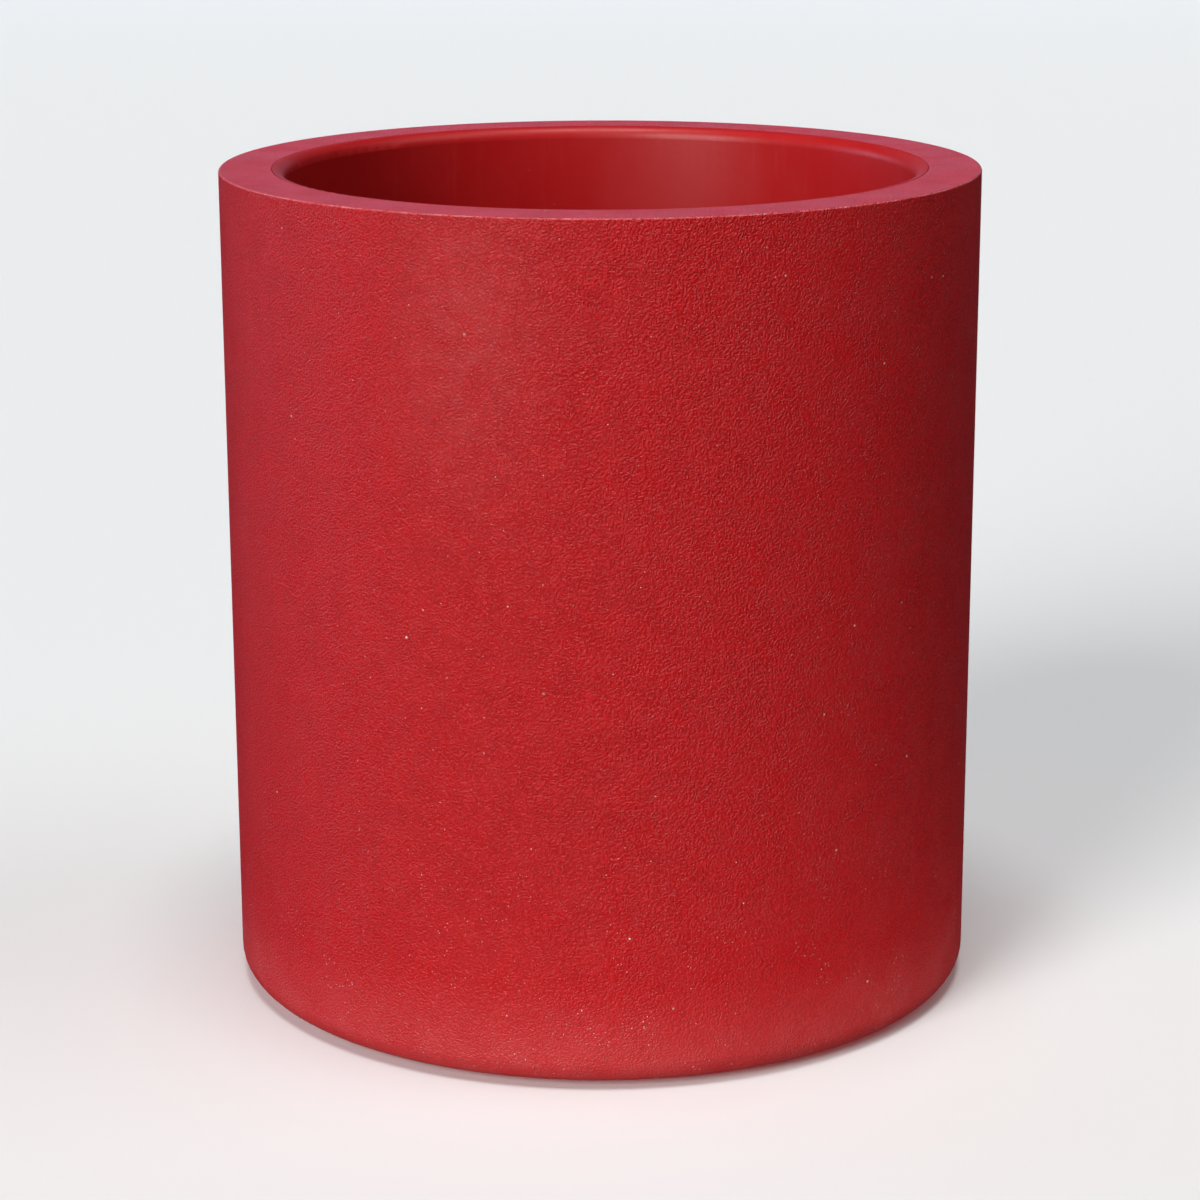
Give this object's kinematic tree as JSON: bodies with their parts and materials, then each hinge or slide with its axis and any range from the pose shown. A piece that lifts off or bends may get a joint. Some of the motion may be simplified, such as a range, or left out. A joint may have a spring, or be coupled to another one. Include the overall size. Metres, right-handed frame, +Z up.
{
  "type": "round planter",
  "caption": "Tall round straight-sided planter with a wide flat rim, a lift-out perforated liner inside a textured outer jacket, drain plugs and foot pads.",
  "frame": {"origin": "on the ground, at the centre of the planter", "axes": "+Z up along the planter's axis; the liner's hand holes face +X and -X; the pictured side faces -Y"},
  "size_m": [0.4, 0.3998, 0.44],
  "materials": {
    "jacket": "fine orange-peel grain, red",
    "liner": "smooth satin, red",
    "plug": "black rubber",
    "pad": "dark grey rubber"
  },
  "bodies": {
    "jacket": {"outer_jacket": "jacket", "foot_pad_1": "pad", "foot_pad_2": "pad", "foot_pad_3": "pad", "foot_pad_4": "pad", "foot_pad_5": "pad", "foot_pad_6": "pad"},
    "liner": {"inner_liner": "liner"},
    "plug_1": {"drain_plug_1": "plug"},
    "plug_2": {"drain_plug_2": "plug"},
    "plug_3": {"drain_plug_3": "plug"}
  },
  "joints": [
    {"name": "liner_lift", "type": "slide", "parent": "jacket", "child": "liner", "axis": [0, 0, 1], "range_m": [0, 0.45]},
    {"name": "plug_1_pull", "type": "slide", "parent": "jacket", "child": "plug_1", "axis": [0, 0, 1], "range_m": [0, 0.025]},
    {"name": "plug_2_pull", "type": "slide", "parent": "jacket", "child": "plug_2", "axis": [0, 0, 1], "range_m": [0, 0.025]},
    {"name": "plug_3_pull", "type": "slide", "parent": "jacket", "child": "plug_3", "axis": [0, 0, 1], "range_m": [0, 0.025]}
  ]
}
